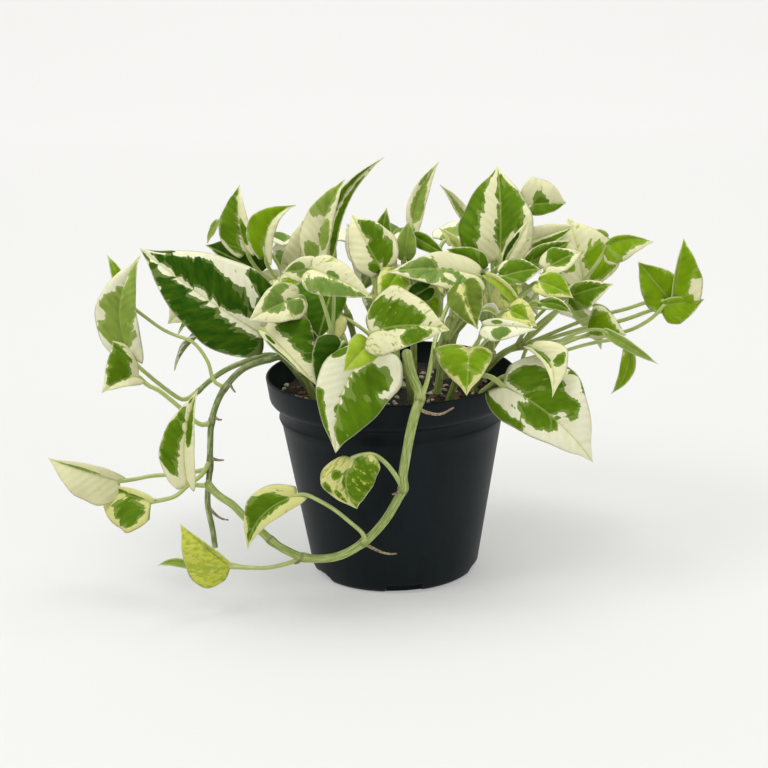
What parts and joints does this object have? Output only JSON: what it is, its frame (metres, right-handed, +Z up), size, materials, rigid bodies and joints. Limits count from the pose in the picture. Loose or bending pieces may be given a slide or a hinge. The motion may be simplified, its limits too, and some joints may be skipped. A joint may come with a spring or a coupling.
{
  "type": "potted pothos plant",
  "caption": "Variegated cream-and-green pothos with upright and trailing leafy stems, in a round black nursery pot filled with soil",
  "frame": {"origin": "middle of the pot's flat underside", "axes": "+Z up, out of the pot's mouth; -Y is the front of the plant, +X its right as seen from the front"},
  "size_m": [0.3934, 0.2543, 0.2537],
  "materials": {
    "pot_plastic": "matte",
    "potting_soil": "matte",
    "leaf": "satin"
  },
  "bodies": {
    "root": {"pot": "pot_plastic", "soil": "potting_soil", "vine_hanging": "leaf", "vine_left": "leaf", "vine_front": "leaf", "stem_left_back": "leaf", "stem_left": "leaf", "stem_left_front": "leaf", "stem_back_left": "leaf", "stem_centre": "leaf", "stem_front": "leaf", "stem_centre_back": "leaf", "stem_middle": "leaf", "stem_right_back": "leaf", "stem_front_right": "leaf", "stem_right": "leaf", "stem_right_high": "leaf", "stem_right_fan": "leaf", "stem_right_low": "leaf", "stem_back_far_left": "leaf", "stem_back_middle_left": "leaf", "stem_back_middle": "leaf", "stem_back_right": "leaf", "stem_back_far_right": "leaf"}
  },
  "joints": []
}
